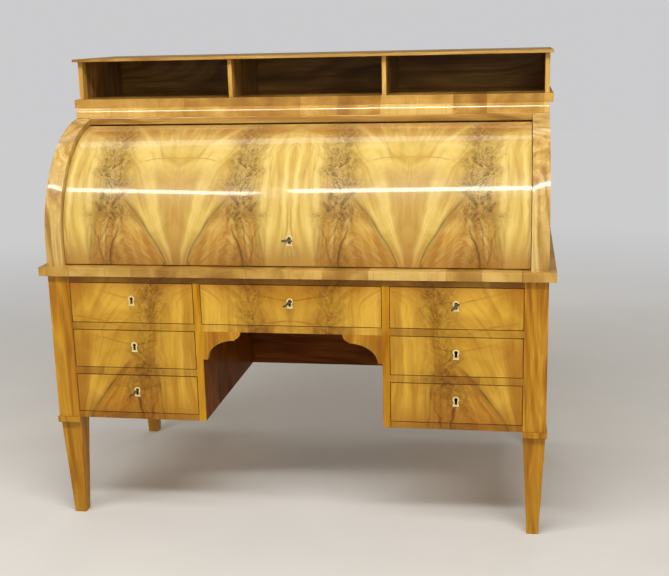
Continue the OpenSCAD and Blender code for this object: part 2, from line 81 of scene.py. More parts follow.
def camera():
    """Stands a little to the right of the desk and looks down at it."""
    yaw, pitch, roll = (math.radians(a) for a in (YAW, PITCH, ROLL))
    data = bpy.data.cameras.new("camera")
    data.sensor_width = 36
    data.lens = LENS
    seen_from = bpy.data.objects.new("camera", data)
    seen_from.matrix_world = (
        Matrix.Translation(EYE)
        @ Matrix.Rotation(yaw, 4, "Z")
        @ Matrix.Rotation(math.pi / 2 + pitch, 4, "X")
        @ Matrix.Rotation(roll, 4, "Z")
    )
    bpy.context.scene.collection.objects.link(seen_from)
    bpy.context.scene.camera = seen_from


def area_light(name, left, right, depth, power, aim=LIGHTS_AIM, mirrored=True):
    """A rectangular light whose long side runs from left to right and which faces aim."""
    left, right = Vector(left), Vector(right)
    middle = (left + right) / 2
    data = bpy.data.lights.new(name, "AREA")
    data.shape = "RECTANGLE"
    data.size = (right - left).length
    data.size_y = depth
    data.energy = power
    data.color = LIGHT_COLOUR
    along = (right - left).normalized()
    back = (middle - Vector(aim)).normalized()
    up = back.cross(along).normalized()
    back = along.cross(up)
    turn = Matrix((along, up, back)).transposed().to_4x4()
    light = bpy.data.objects.new(name, data)
    light.matrix_world = Matrix.Translation(middle) @ turn
    light.visible_glossy = mirrored
    bpy.context.scene.collection.objects.link(light)


def lights():
    """Two tubes and a wide far one draw the highlights. The others only light the desk."""
    area_light("ceiling", (-1.8, -1.35, 3.1), (2.0, -1.35, 3.1), 0.5, 24, mirrored=False)
    area_light("front", (0.0, -4.3, 2.1), (3.4, -3.6, 2.1), 1.6, 38, mirrored=False)
    area_light("behind", (-1.6, 4.0, 2.6), (1.6, 4.0, 2.6), 1.6, 40, mirrored=False)
    area_light("tube_left", (-3.00, -1.71, LAMP_Z), (-0.80, -2.38, LAMP_Z), 0.19, 36)
    area_light("tube_right", (-0.58, -2.19, LAMP_Z), (1.90, -1.74, LAMP_Z), 0.19, 48)
    area_light("far_tube", (-2.90, 0.20, LAMP_Z), (1.50, 0.95, LAMP_Z), 0.34, 13, aim=(0, 0, 1.0))


def world():
    """A plain backdrop for the camera, and a dim warm light for everything else."""
    sky = bpy.data.worlds.new("studio")
    sky.use_nodes = True
    g = Graph(sky.node_tree)
    back = sky.node_tree.nodes["Background"]
    seen = g.put("ShaderNodeLightPath").outputs["Is Camera Ray"]
    g.join(g.mix(seen, SKY_COLOUR, (*BACKDROP, 1)), back.inputs["Color"])
    g.join(g.add(SKY_STRENGTH, g.mul(seen, 1 - SKY_STRENGTH)), back.inputs["Strength"])
    bpy.context.scene.world = sky


# ---------------------------------------------------------------- a short way to write node trees

class Graph:
    """Adds nodes to a tree. Values are sockets or numbers, and vectors are sockets or three numbers."""

    def __init__(self, tree):
        self.tree = tree

    def put(self, kind, settings=(), **inputs):
        node = self.tree.nodes.new(kind)
        for key, value in dict(settings).items():
            setattr(node, key, value)
        for key, value in inputs.items():
            self.join(value, node.inputs[key.replace("_", " ")])
        return node

    def join(self, value, socket):
        if isinstance(value, bpy.types.NodeSocket):
            self.tree.links.new(value, socket)
        elif value is not None:
            socket.default_value = value

    def math(self, operation, *values):
        node = self.tree.nodes.new("ShaderNodeMath")
        node.operation = operation
        for value, socket in zip(values, node.inputs):
            self.join(value, socket)
        return node.outputs[0]

    def add(self, a, b):
        return self.math("ADD", a, b)

    def sub(self, a, b):
        return self.math("SUBTRACT", a, b)

    def mul(self, a, b):
        return self.math("MULTIPLY", a, b)

    def between(self, value, start, end, low=0.0, high=1.0):
        """Goes smoothly from low to high as value goes from start to end."""
        node = self.put("ShaderNodeMapRange", {"interpolation_type": "SMOOTHSTEP"})
        falls = isinstance(start, (int, float)) and isinstance(end, (int, float)) and start > end
        if falls:
            start, end, low, high = end, start, high, low
        given = {"Value": value, "From Min": start, "From Max": end, "To Min": low, "To Max": high}
        for name, v in given.items():
            self.join(v, node.inputs[name])
        return node.outputs[0]

    def line(self, value, centre, width):
        """1 where value is centre, and 0 further than width from it."""
        return self.between(self.math("ABSOLUTE", self.sub(value, centre)), width, 0.0)

    def xyz(self, x, y, z=0.0):
        return self.put("ShaderNodeCombineXYZ", X=x, Y=y, Z=z).outputs[0]

    def noise(self, vector, scale=1.0, detail=2.0, rough=0.5, warp=0.0):
        node = self.put("ShaderNodeTexNoise", Vector=vector, Scale=scale, Detail=detail, Roughness=rough)
        node.inputs["Distortion"].default_value = warp
        return node.outputs["Fac"]

    def mix(self, factor, a, b, blend="MIX"):
        node = self.put("ShaderNodeMix", {"data_type": "RGBA", "blend_type": blend})
        self.join(factor, node.inputs[0])
        self.join(a, node.inputs[6])
        self.join(b, node.inputs[7])
        return node.outputs[2]

    def ramp(self, value, stops):
        node = self.put("ShaderNodeValToRGB", Fac=value)
        elements = node.color_ramp.elements
        while len(elements) < len(stops):
            elements.new(0.5)
        for element, (place, colour) in zip(elements, stops):
            element.position = place
            element.color = colour
        return node.outputs["Color"]


def srgb(r, g, b):
    """A colour as it looks on screen, 0 to 255, as the linear numbers that the shaders take."""
    def linear(c):
        c /= 255
        return c / 12.92 if c <= 0.04045 else ((c + 0.055) / 1.055) ** 2.4
    return (linear(r), linear(g), linear(b), 1)


def material(name, plain_colour):
    """A new material, its graph, its shader, and where a point is in metres, whole and as x, y and z."""
    made = bpy.data.materials.new(name)
    made.use_nodes = True
    made.diffuse_color = plain_colour
    tree = made.node_tree
    tree.nodes.clear()
    shader = tree.nodes.new("ShaderNodeBsdfPrincipled")
    out = tree.nodes.new("ShaderNodeOutputMaterial")
    tree.links.new(shader.outputs[0], out.inputs[0])
    g = Graph(tree)
    place = g.put("ShaderNodeTexCoord").outputs["Object"]
    split = g.put("ShaderNodeSeparateXYZ", Vector=place)
    return made, g, shader, place, split.outputs


# ---------------------------------------------------------------- wood

PALE_GOLD = srgb(240, 212, 128)
GOLD = srgb(222, 192, 104)
HONEY = srgb(202, 166, 78)
ORANGE = srgb(184, 138, 60)
UMBER = srgb(84, 52, 22)
FRONT_TINT = (0.88, 0.68, 0.25, 1)      # the lower case is redder than the cylinder
# Painted shade: the cylinder's colour is darkened a little above its foot, to even out the light that its
# upturned faces catch.
LID_SHADE_TINT = (0.88, 0.87, 0.88, 1)        # the cylinder is a little darker above its foot
PEDESTAL_PLUME = 0.19                   # how far the plumes stand from the seam, in metres
PEDESTAL_LEAN = 0.12                    # how far the pedestals' plume leans out for each metre up
CENTRE_PLUME = 0.11
PEDESTAL_SEED = 5.0                     # seeds tell one log's figure from another's
CENTRE_SEED = 8.0
PEDESTAL_ROWS = ("left_bottom", "left_middle", "left_top")
# Dark old polish, and painted shade from the gaps, along the edges of the drawer fronts.
EDGE_DIRT_AND_SHADE = srgb(92, 44, 4)


def pin_knots(g, colour, where, scale):
    """Now and then a small dark knot with a brown ring."""
    near = g.put("ShaderNodeTexVoronoi", Vector=where, Scale=scale).outputs["Distance"]
    size = 0.0022 * scale
    colour = g.mix(g.between(near, size * 3, size, 0.0, 0.45), colour, srgb(128, 78, 30))
    return g.mix(g.between(near, size, size * 0.4, 0.0, 0.8), colour, srgb(48, 26, 10))


def figure_group():
    """The figure of a crotch veneer leaf: a dark feathered plume that stands beside a fan of pale rays.

    Across is the distance from the seam where the fan starts, Up is the height in the leaf and Plume is
    where the plume stands, all in metres. Depth is how dark the plume's strands are, from 0 to 1.
    """
    tree = bpy.data.node_groups.new("crotch_figure", "ShaderNodeTree")
    for name in ("Across", "Up", "Plume", "Seed", "Depth"):
        tree.interface.new_socket(name, in_out="INPUT", socket_type="NodeSocketFloat")
    tree.interface.new_socket("Color", in_out="OUTPUT", socket_type="NodeSocketColor")
    tree.interface.new_socket("Dark", in_out="OUTPUT", socket_type="NodeSocketFloat")
    g = Graph(tree)
    given = tree.nodes.new("NodeGroupInput").outputs
    across, up, plume, seed, darkness = (given[i] for i in range(5))

    # The whole leaf wanders a little.
    wander = g.noise(g.xyz(across, up, seed), 5.5, 3)
    sway = g.mul(g.sub(wander, 0.5), 0.045)
    u = g.add(across, sway)
    v = g.add(up, g.mul(sway, 0.8))

    # Grain lines: gathered to the foot of the seam, spread like a palm above, upright past the plume.
    beside = g.sub(u, plume)
    past = g.mul(g.between(beside, -0.06, 0.015), g.between(v, 0.46, 0.34))
    gather = g.math("MAXIMUM", 1.0, g.math("DIVIDE", 0.33, g.math("MAXIMUM", g.add(v, 0.06), 0.02)))
    rise = g.math("MAXIMUM", g.sub(v, 0.27), 0.0)
    spread = g.add(g.add(1.0, g.mul(rise, 7.0)), g.mul(g.mul(rise, rise), 30.0))
    lines = g.math("DIVIDE", gather, spread)
    grain = g.mul(u, g.add(g.mul(lines, g.sub(1.0, past)), past))
    streak = g.noise(g.xyz(g.mul(grain, 13), g.mul(v, 2.0), seed), 1.0, 4, 0.6, 0.4)
    fine = g.noise(g.xyz(g.mul(grain, 95), g.mul(v, 6), seed), 1.0, 3, 0.6, 0.2)
    cloud = g.noise(g.xyz(across, g.mul(up, 0.8), seed), 8, 4, 0.6, 0.8)
    upright = g.noise(g.xyz(g.mul(u, 30), g.mul(v, 2.6), g.add(seed, 4.0)), 1.0, 4, 0.6, 0.5)
    cloud = g.add(g.mul(cloud, g.sub(1.0, past)), g.mul(upright, past))
    tone = g.add(g.mul(streak, 0.45), g.mul(cloud, 0.55))
    tone = g.between(tone, 0.30, 0.70)
    colour = g.ramp(tone, [(0.0, ORANGE), (0.30, HONEY), (0.65, GOLD), (1.0, PALE_GOLD)])
    light = g.mul(g.between(beside, 0.04, 0.13), g.between(upright, 0.42, 0.62, 0.05, 0.5))
    colour = g.mix(light, colour, PALE_GOLD)

    # A honey wedge on the seam, with a pale ray along each side of it and a thin arc across its top.
    edge = g.noise(g.xyz(g.mul(grain, 9), g.mul(v, 7), seed), 1.0, 3)
    along = g.add(grain, g.mul(g.sub(edge, 0.5), 0.05))
    wedge = g.mul(g.between(along, 0.085, 0.055), g.between(v, 0.33, 0.20))
    ray = g.mul(g.between(along, 0.060, 0.085), g.between(along, 0.135, 0.095))
    ray = g.mul(ray, g.between(v, 0.36, 0.20))
    colour = g.mix(g.mul(wedge, 0.55), colour, srgb(180, 134, 64))
    colour = g.mix(g.mul(ray, 0.4), colour, PALE_GOLD)
    arc = g.mul(g.line(g.add(v, g.mul(g.mul(u, u), 1.2)), 0.305, 0.004), g.between(u, 0.16, 0.12))
    colour = g.mix(g.mul(arc, g.between(streak, 0.40, 0.60, 0.05, 0.5)), colour, srgb(150, 102, 44))

    # Under the plume a dark line sweeps down on each side of it, the near one to the foot of the seam.
    aside = g.math("ABSOLUTE", beside)
    far_side = g.math("GREATER_THAN", beside, 0.0)
    low = g.math("POWER", g.math("MAXIMUM", g.mul(v, 1 / 0.17), 0.0), 1.4)
    near_reach = g.sub(0.152, g.mul(low, 0.104))
    far_reach = g.sub(0.062, g.mul(low, 0.034))
    reach = g.add(g.mul(near_reach, g.sub(1.0, far_side)), g.mul(far_reach, far_side))
    reach = g.math("MAXIMUM", reach, 0.012)
    beyond = g.add(g.sub(aside, reach), g.mul(g.sub(edge, 0.5), 0.030))
    arch = g.math("DIVIDE", aside, reach)
    under = g.between(v, 0.20, 0.14)
    inside = g.mul(g.between(beyond, 0.006, -0.020), under)
    arcs = g.noise(g.xyz(g.mul(arch, 5.5), g.mul(v, 8), seed), 1.0, 4, 0.6, 0.8)
    colour = g.mix(g.mul(inside, g.between(arcs, 0.32, 0.66, 0.05, 0.75)), colour, srgb(190, 132, 52))
    ribs = g.math("SINE", g.mul(g.add(arch, g.mul(edge, 0.9)), 16))
    colour = g.mix(g.mul(inside, g.between(ribs, 0.5, 1.0, 0.0, 0.35)), colour, srgb(146, 96, 38))
    colour = g.mix(g.mul(inside, g.between(ribs, -0.6, -1.0, 0.0, 0.30)), colour, GOLD)
    broken = g.between(g.noise(g.xyz(g.mul(v, 13), far_side, seed), 1.0, 2), 0.35, 0.65, 0.35, 1.0)
    faint = g.sub(1.0, g.mul(far_side, 0.45))
    under = g.mul(under, faint)
    arch_edge = g.mul(g.mul(g.line(beyond, 0.0, 0.007), under), broken)
    arch_haze = g.mul(g.mul(g.line(beyond, -0.002, 0.024), under), g.between(v, 0.02, 0.10, 0.4, 0.9))

    # The plume: short feathered strands that spread up and down from a dark crown, in a brown haze.
    stem = g.mul(g.sub(g.noise(g.xyz(g.mul(v, 8), 0.0, seed), 1.0, 3), 0.5), 0.08)
    bent = g.sub(beside, stem)
    off = g.math("ABSOLUTE", bent)
    ruffle = g.mul(g.sub(g.noise(g.xyz(g.mul(u, 34), g.mul(v, 26), seed), 1.0, 5, 0.75), 0.5), 0.06)
    lean = g.mul(g.math("ABSOLUTE", g.sub(v, 0.15)), 0.55)
    strand = g.add(g.sub(off, lean), g.mul(ruffle, 0.8))
    side = g.add(seed, g.math("SIGN", bent))
    strands = g.noise(g.xyz(g.mul(strand, 105), g.mul(v, 24), side), 1.0, 5, 0.75, 0.4)
    flecks = g.noise(g.xyz(g.mul(u, 60), g.mul(v, 60), seed), 1.0, 4, 0.7, 0.6)
    width = g.add(0.028, g.mul(g.noise(g.xyz(g.mul(v, 6), 4.0, seed), 1.0, 2), 0.068))
    body = g.between(g.math("DIVIDE", g.add(off, ruffle), width), 1.25, 0.0)
    depth = g.between(g.noise(g.xyz(g.mul(v, 6.5), 9.0, seed), 1.0, 1), 0.32, 0.6, 0.6, 1.0)
    depth = g.mul(depth, g.between(v, 0.50, 0.38, 0.4, 1.0))
    depth = g.mul(depth, g.between(v, 0.03, 0.15, 0.45, 1.0))
    crown = g.mul(g.line(g.add(v, g.mul(off, 0.55)), 0.165, 0.04), g.between(off, 0.09, 0.02))
    haze = g.math("MAXIMUM", g.mul(body, depth), g.mul(crown, 0.7))
    haze = g.mul(haze, g.between(flecks, 0.35, 0.65, 0.45, 1.0))
    dark = g.mul(g.math("MAXIMUM", g.mul(body, depth), crown), g.between(strands, 0.44, 0.60))
    dark = g.mul(dark, g.between(flecks, 0.36, 0.54, 0.4, 1.0))
    pale = g.mul(body, g.between(strands, 0.46, 0.34))
    creep = g.mul(g.sub(g.noise(g.xyz(g.mul(v, 24), 2.0, seed), 1.0, 2), 0.5), 0.03)
    foot = g.line(g.add(g.add(beside, creep), g.mul(v, 0.3)), 0.0, 0.006)
    second = g.line(g.sub(g.add(beside, g.mul(creep, 1.6)), g.mul(v, 0.25)), 0.02, 0.005)
    feet = g.mul(g.math("MAXIMUM", foot, g.mul(second, 0.6)), g.between(v, 0.13, 0.06))

    # Orange fronds cross the top of the leaf, and its foot is darker.
    frond_angle = g.math("ARCTAN2", u, g.math("MAXIMUM", g.sub(v, 0.16), 0.02))
    fronds = g.noise(g.xyz(g.mul(frond_angle, 9), g.mul(v, 4), seed), 1.0, 4, 0.6, 0.8)
    top = g.mul(g.between(v, 0.33, 0.44), g.between(fronds, 0.30, 0.60, 0.25, 1.0))
    colour = g.mix(g.mul(top, 0.75), colour, srgb(182, 124, 50))
    toe = g.mul(g.between(v, 0.10, 0.0), g.between(cloud, 0.30, 0.60, 0.3, 1.0))
    colour = g.mix(g.mul(toe, 0.6), colour, srgb(160, 102, 36))

    colour = g.mix(g.mul(haze, 0.75), colour, srgb(138, 98, 42))
    colour = g.mix(g.mul(pale, 0.35), colour, srgb(222, 186, 104))
    colour = g.mix(g.mul(dark, darkness), colour, srgb(76, 50, 22))
    colour = g.mix(g.mul(arch_haze, 0.5), colour, srgb(140, 96, 42))
    colour = g.mix(g.mul(arch_edge, 0.75), colour, srgb(100, 64, 28))
    colour = g.mix(g.mul(feet, 0.7), colour, srgb(88, 54, 22))
    colour = g.mix(g.between(fine, 0.48, 0.70, 0.0, 0.30), colour, srgb(150, 104, 44))

    # Pores: short dark flecks along the grain.
    pores = g.noise(g.xyz(g.mul(u, 900), g.mul(v, 42), seed), 1.0, 2, 0.5)
    pores = g.between(pores, 0.66, 0.78)
    colour = g.mix(g.mul(pores, 0.35), colour, UMBER)
    colour = pin_knots(g, colour, g.xyz(across, up, seed), 6.0)
    marks = g.math("MAXIMUM", dark, pores)

    out = tree.nodes.new("NodeGroupOutput")
    g.join(colour, out.inputs[0])
    g.join(marks, out.inputs[1])
    return tree


FIGURE = figure_group()


def polish(g, shader, colour, marks, place, roughness=0.32, coat=0.55, specular=0.3, bump=0.00006):
    """French polish: a clear glossy coat on wood whose pores show a little through it."""
    g.join(colour, shader.inputs["Base Color"])
    smear = g.noise(place, 7, 3)
    g.join(g.between(smear, 0.3, 0.7, roughness - 0.05, roughness + 0.06), shader.inputs["Roughness"])
    shader.inputs["Specular IOR Level"].default_value = specular
    shader.inputs["Coat Weight"].default_value = coat
    shader.inputs["Coat Roughness"].default_value = 0.06
    shader.inputs["Coat IOR"].default_value = 1.5
    sag = g.noise(place, 14, 2)
    height = g.add(g.mul(marks, -0.35), sag)
    lift = g.put("ShaderNodeBump", Height=height, Distance=bump)
    lift.inputs["Strength"].default_value = 1.0
    g.join(lift.outputs[0], shader.inputs["Normal"])
    g.join(lift.outputs[0], shader.inputs["Coat Normal"])


def figured(g, across, up, plume, seed, depth=0.6):
    """The colour and the marks of one leaf."""
    leaf = {"Across": across, "Up": up, "Plume": plume, "Seed": seed, "Depth": depth}
    node = g.put("ShaderNodeGroup", {"node_tree": FIGURE}, **leaf)
    return node.outputs[0], node.outputs[1]


def lid_veneer():
    """Four leaves, each folded over from the next, that rise round the cylinder."""
    made, g, shader, place, at = material("lid_veneer", GOLD)
    across = g.math("ABSOLUTE", g.sub(g.math("ABSOLUTE", at[0]), LEAF_SEAM))
    angle = g.math("ARCTAN2", g.sub(at[2], LID_AXIS_Z), g.mul(g.sub(at[1], LID_AXIS_Y), -1.0))
    up = g.add(g.mul(angle, LID_RADIUS), LID_RADIUS * math.radians(LID_FOOT))
    colour, marks = figured(g, across, up, PEDESTAL_PLUME, 3.0, 0.85)
    # Painted shade, growing from the foot of the leaves upwards.
    shaded = g.mix(1.0, colour, LID_SHADE_TINT, "MULTIPLY")
    colour = g.mix(g.between(up, 0.04, 0.20), colour, shaded)
    polish(g, shader, colour, marks, place)
    return made


def edge_dirt_and_shade(g, at, names, width=0.0022):
    """How much dark old polish, and painted shade from the gaps, lies along the edges of these drawer
    fronts.
    """
    boxes = [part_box("front_" + name) for name in names]
    sides = {round(abs(x), 5) for low, high in boxes for x in (low.x, high.x)}
    levels = {round(z, 5) for low, high in boxes for z in (low.z, high.z)}
    dirt_and_shade = 0.0
    for value, edges in ((g.math("ABSOLUTE", at[0]), sides), (at[2], levels)):
        for edge in sorted(edges):
            dirt_and_shade = g.math("MAXIMUM", dirt_and_shade, g.line(value, edge, width))
    return dirt_and_shade


def front_veneer(name, seam, plume, lean, seed, fronts):
    """A leaf that runs up the front over drawers and rails alike, and is folded over on the other side."""
    made, g, shader, place, at = material(name, HONEY)
    up = g.sub(at[2], DRAWER_BOTTOM)
    across = g.math("ABSOLUTE", g.sub(seam, g.math("ABSOLUTE", at[0])))
    stands = g.add(plume, g.mul(up, lean))
    colour, marks = figured(g, across, up, stands, seed)
    colour = g.mix(1.0, colour, FRONT_TINT, "MULTIPLY")
    # Painted shade along the gaps round the drawer fronts, together with dark old polish.
    colour = g.mix(g.mul(edge_dirt_and_shade(g, at, fronts), 0.7), colour, EDGE_DIRT_AND_SHADE)
    polish(g, shader, colour, marks, place)
    return made


def rail_veneer():
    """The rails carry the figure of the drawers they part, cut in short lengths of differing tone."""
    made, g, shader, place, at = material("rail_veneer", HONEY)
    off = g.math("ABSOLUTE", at[0])
    up = g.sub(at[2], DRAWER_BOTTOM)
    outer = g.between(off, KNEE, KNEE + 0.001)
    from_seam = g.math("ABSOLUTE", g.sub(OUTER_SEAM, off))
    stands = g.add(PEDESTAL_PLUME, g.mul(up, PEDESTAL_LEAN))
    pedestal = figured(g, from_seam, up, stands, PEDESTAL_SEED)
    centre = figured(g, off, up, CENTRE_PLUME, CENTRE_SEED)
    colour = g.mix(outer, centre[0], pedestal[0])
    level = 0.0
    for place_name in PEDESTAL_ROWS:
        low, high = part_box("front_" + place_name)
        level = g.add(level, g.math("GREATER_THAN", at[2], (low.z + high.z) / 2))
    lengths = g.add(at[0], g.mul(level, 3.7))
    cell = g.put("ShaderNodeTexVoronoi", {"voronoi_dimensions": "1D"}, W=lengths, Scale=14)
    shade = g.put("ShaderNodeSeparateXYZ", Vector=cell.outputs["Color"]).outputs[0]
    colour = g.mix(g.between(shade, 0.35, 0.9, 0.0, 0.45), colour, srgb(140, 92, 46))
    colour = g.mix(1.0, colour, FRONT_TINT, "MULTIPLY")
    # All rails are darkened a little in tone, and the top rail, under the writing slab's overhang, much
    # more: painted shadow.
    colour = g.mix(g.between(level, 2, 3, 0.14, 0.38), colour, srgb(96, 56, 24))
    polish(g, shader, colour, pedestal[1], place)
    return made


def grain_colour(g, place, at, along, tones, seed=0.0, swirl=0.3):
    """The colour and the pores of plain wood cut from a log that lay along axis 0, 1 or 2."""
    a, b = (at[i] for i in range(3) if i != along)
    drift = g.mul(g.sub(g.noise(place, 2.2, 2), 0.5), 0.06)
    a_shifted, b_shifted = g.add(a, drift), g.add(b, drift)
    lengthways = g.add(at[along], seed)
    fibre = g.xyz(g.mul(a_shifted, 40), g.mul(b_shifted, 40), g.mul(lengthways, 1.6))
    band = g.noise(fibre, 1.0, 5, 0.6, swirl)
    ring = g.noise(g.xyz(g.mul(a_shifted, 5.5), g.mul(b_shifted, 5.5), g.mul(lengthways, 0.8)), 1.0, 1)
    ring = g.add(0.5, g.mul(g.math("SINE", g.mul(ring, 95)), 0.5))
    cloud = g.noise(g.xyz(g.mul(a, 6), g.mul(b, 6), g.mul(lengthways, 2.5)), 1.0, 3, 0.55, 0.6)
    tone = g.add(g.mul(band, 0.55), g.add(g.mul(ring, 0.12), g.mul(cloud, 0.33)))
    colour = g.ramp(g.between(tone, 0.32, 0.68), [(0.0, tones[0]), (0.5, tones[1]), (1.0, tones[2])])
    late = g.mul(g.between(ring, 0.80, 1.0), g.between(band, 0.40, 0.60, 0.1, 0.35))
    colour = g.mix(late, colour, tones[0])
    fine = g.noise(g.xyz(g.mul(a, 260), g.mul(b, 260), g.mul(lengthways, 9)), 1.0, 2)
    colour = g.mix(g.between(fine, 0.5, 0.75, 0.0, 0.35), colour, tones[0])
    pores = g.noise(g.xyz(g.mul(a, 1000), g.mul(b, 1000), g.mul(lengthways, 45)), 1.0, 1)
    pores = g.between(pores, 0.66, 0.78)
    colour = g.mix(g.mul(pores, 0.35), colour, UMBER)
    return pin_knots(g, colour, place, 6.5), pores


def straight_grain(name, along, tones, seed=0.0, roughness=0.34, coat=0.5, swirl=0.3, specular=0.3):
    """Polished plain wood whose grain lies along axis 0, 1 or 2."""
    made, g, shader, place, at = material(name, tones[1])
    colour, pores = grain_colour(g, place, at, along, tones, seed, swirl)
    polish(g, shader, colour, pores, place, roughness, coat, specular)
    return made


DOVETAIL_PITCH = 0.034
DOVETAIL_LENGTH = 0.012


def drawer_pine(low, high):
    """Bare pine that runs from front to back, with the darker end grain of dovetails at both ends."""
    made, g, shader, place, at = material("drawer_pine", PINE[1])
    colour, pores = grain_colour(g, place, at, 1, PINE, 1.0)
    from_end = g.math("MINIMUM", g.sub(at[1], low.y), g.sub(high.y, at[1]))
    share = g.math("ABSOLUTE", g.sub(g.math("FRACT", g.mul(at[2], 1 / DOVETAIL_PITCH)), 0.5))
    pin = g.between(g.sub(share, g.mul(from_end, 8)), 0.20, 0.22)
    pin = g.mul(pin, g.between(from_end, DOVETAIL_LENGTH + 0.0002, DOVETAIL_LENGTH - 0.0002))
    colour = g.mix(g.mul(pin, 0.55), colour, srgb(134, 90, 46))
    polish(g, shader, colour, pores, place, 0.55, 0.0)
    return made


def cheek_walnut():
    """Pale upright walnut, with painted shade in brown on the inner edge that the cylinder slides past."""
    made, g, shader, place, at = material("cheek_walnut", PALE_WALNUT[1])
    colour, pores = grain_colour(g, place, at, 2, PALE_WALNUT, 9.0)
    shaded_inner = g.between(g.math("ABSOLUTE", at[0]), LID_SIDE + 0.0012, LID_SIDE + 0.0008)
    # Painted shade on the inner faces, beside the cylinder.
    colour = g.mix(g.mul(shaded_inner, 0.6), colour, srgb(120, 76, 30))
    polish(g, shader, colour, pores, place)
    return made


def lipped(name, box, thickness, tones, shade_tones, seed=0.0, **gloss):
    """Upright walnut, polished in front and on the outer sides of the box, with darker tones behind on its
    inner sides, which are painted shade.
    """
    made, g, shader, place, at = material(name, tones[1])
    shown, pores = grain_colour(g, place, at, 2, tones, seed)
    painted_shade_colour = grain_colour(g, place, at, 2, shade_tones, seed)[0]
    face = box[0].y + thickness
    behind = g.between(at[1], face, face + 0.0004)
    shaded_inner = g.between(g.math("ABSOLUTE", at[0]), box[1].x - 0.0010, box[1].x - 0.0014)
    # Painted shade on the inner sides, behind the front edge.
    colour = g.mix(g.mul(behind, shaded_inner), shown, painted_shade_colour)
    polish(g, shader, colour, pores, place, **gloss)
    return made


def crossband(name, tones, block=0.11, **gloss):
    """Short blocks of cross-grained veneer, side by side along the front."""
    made, g, shader, place, at = material(name, tones[1])
    cell = g.put("ShaderNodeTexVoronoi", {"voronoi_dimensions": "1D"}, W=at[0], Scale=1 / block)
    shade = g.put("ShaderNodeSeparateXYZ", Vector=cell.outputs["Color"]).outputs[0]
    drift = g.noise(place, 9, 3, 0.6, 0.5)
    tone = g.add(g.mul(shade, 0.25), g.mul(drift, 0.75))
    colour = g.ramp(g.between(tone, 0.25, 0.75), [(0.0, tones[0]), (0.45, tones[1]), (1.0, tones[2])])
    upright = g.noise(g.xyz(g.mul(at[0], 150), g.mul(at[1], 30), g.mul(at[2], 12)), 1.0, 3)
    colour = g.mix(g.between(upright, 0.5, 0.75, 0.0, 0.3), colour, tones[0])
    polish(g, shader, colour, g.mul(upright, 0.3), place, **gloss)
    return made


def metal(name, bright, dull, roughness, metallic=1.0, case=None):
    """Aged metal. What lies behind the depth in case, if any, is dark iron, as a lock's case is."""
    made, g, shader, place, at = material(name, bright)
    tarnish = g.noise(place, 60, 4, 0.6, 0.4)
    colour = g.ramp(g.between(tarnish, 0.35, 0.7), [(0, bright), (1, dull)])
    if case is not None:
        iron = g.mix(g.between(tarnish, 0.3, 0.7), srgb(62, 52, 42), srgb(36, 30, 26))
        colour = g.mix(g.math("GREATER_THAN", at[1], case), colour, iron)
    g.join(colour, shader.inputs["Base Color"])
    shader.inputs["Metallic"].default_value = metallic
    g.join(g.between(tarnish, 0.3, 0.7, roughness, roughness + 0.2), shader.inputs["Roughness"])
    return made


GILT_LINES = ((0.020, 0.0016), (0.027, 0.0008))     # distance from the edge, and half width


def hide():
    """Pebbled leather, rubbed paler where arms rest, with a gilt line and a thinner one inside it."""
    made, g, shader, place, at = material("desk_leather", srgb(70, 84, 52))
    low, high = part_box("writing_leather")
    from_edge = [g.sub((high[i] - low[i]) / 2, g.math("ABSOLUTE", g.sub(at[i], (low[i] + high[i]) / 2)))
                 for i in (0, 1)]
    inwards = g.math("MINIMUM", *from_edge)
    worn = g.between(g.noise(place, 5, 3), 0.40, 0.70)
    rubbed = g.between(g.noise(place, 30, 3), 0.30, 0.55, 0.35, 1.0)
    gilt = g.math("MAXIMUM", *[g.line(inwards, inset, width) for inset, width in GILT_LINES])
    gilt = g.mul(gilt, rubbed)
    pebbles = g.put("ShaderNodeTexVoronoi", Vector=place, Scale=900).outputs["Distance"]
    colour = g.mix(worn, srgb(50, 64, 38), srgb(84, 94, 56))
    g.join(g.mix(gilt, colour, srgb(206, 170, 92)), shader.inputs["Base Color"])
    g.join(g.mul(gilt, 0.8), shader.inputs["Metallic"])
    g.join(g.between(worn, 0, 1, 0.42, 0.55), shader.inputs["Roughness"])
    lift = g.put("ShaderNodeBump", Height=pebbles, Distance=0.0003)
    g.join(lift.outputs[0], shader.inputs["Normal"])
    return made


WALNUT = (srgb(150, 92, 14), srgb(188, 130, 26), srgb(212, 160, 44))
GOLDEN = (srgb(166, 116, 44), srgb(204, 160, 76), srgb(230, 192, 112))
PALE_WALNUT = (srgb(156, 112, 48), srgb(197, 159, 86), srgb(226, 196, 126))
HONEYED = (srgb(140, 96, 38), srgb(180, 136, 62), srgb(208, 166, 88))
SUNLIT = (srgb(150, 106, 42), srgb(192, 150, 72), srgb(220, 184, 104))
# Painted shade: the next two tones are darker copies of the walnut for the shaded insides of the shelf
# bays and the kneehole.
SHADE_DEEP = (srgb(108, 76, 36), srgb(150, 112, 56), srgb(182, 144, 76))
SHADE_DARKEST = (srgb(78, 34, 0), srgb(108, 54, 2), srgb(134, 74, 8))
PINE = (srgb(166, 122, 70), srgb(196, 156, 100), srgb(218, 186, 134))

